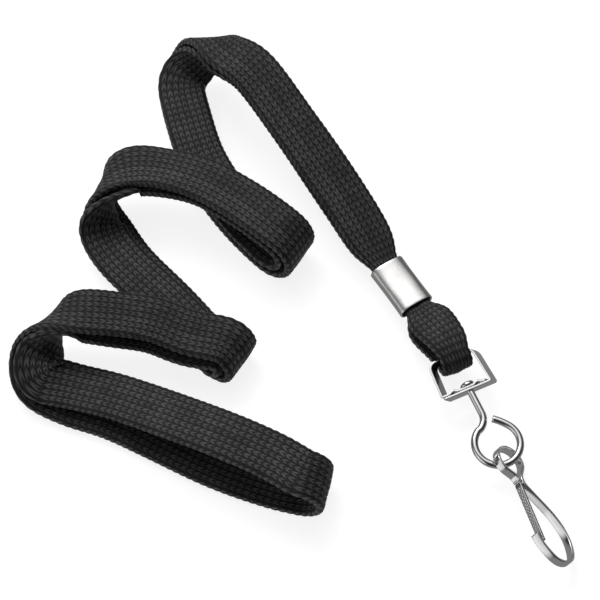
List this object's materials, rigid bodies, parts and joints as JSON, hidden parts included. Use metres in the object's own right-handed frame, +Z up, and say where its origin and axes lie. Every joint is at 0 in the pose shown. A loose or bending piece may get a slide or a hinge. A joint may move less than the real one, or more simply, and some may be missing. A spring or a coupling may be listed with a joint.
{
  "type": "lanyard",
  "caption": "Flat-braided neck strap folded in a loose zigzag, its strands held by a metal crimp above a swivel hook with a knurled spring gate, for hanging a badge or keys.",
  "frame": {"origin": "middle of the surface the lanyard lies on, under the centre of its bounding box", "axes": "+Z up out of the surface, +Y towards the top of the zigzag, +X towards the side the hook lies on"},
  "size_m": [0.1096, 0.1167, 0.0161],
  "materials": {
    "braid": "matt charcoal flat braid of soft polyester yarn",
    "crimp_metal": "satin nickel-plated steel sheet",
    "plating": "bright nickel-plated steel strip and wire",
    "gate_metal": "nickel-plated spring strip with a knurled outer face"
  },
  "bodies": {
    "strap": {"strap_outer": "braid", "strap_inner": "braid", "neck_fold": "braid", "clip_loop": "braid", "crimp": "crimp_metal"},
    "frame": {"swivel_frame": "plating"},
    "eye": {"swivel_eye": "plating"},
    "hook": {"hook_body": "plating"},
    "gate": {"gate_leaf": "gate_metal"}
  },
  "joints": [
    {"name": "frame_swing", "type": "hinge", "parent": "strap", "child": "frame", "pos_m": [0.0327, -0.0152, 0.0061], "axis": [0.91, 0.4147, 0], "range_deg": [-60, 60]},
    {"name": "eye_spin", "type": "hinge", "parent": "frame", "child": "eye", "pos_m": [0.03584, -0.0221, 0.00557], "axis": [-0.4137, 0.9077, 0.0698], "continuous": true},
    {"name": "hook_swing", "type": "hinge", "parent": "eye", "child": "hook", "pos_m": [0.04294, -0.03706, 0.00449], "axis": [0.5849, 0.2666, 0.766], "range_deg": [-50, 50]},
    {"name": "gate_press", "type": "hinge", "parent": "hook", "child": "gate", "pos_m": [0.04451, -0.0419, 0.00497], "axis": [0.5849, 0.2666, 0.766], "range_deg": [0, 20], "stiffness_Nm_per_rad": 0.05}
  ]
}
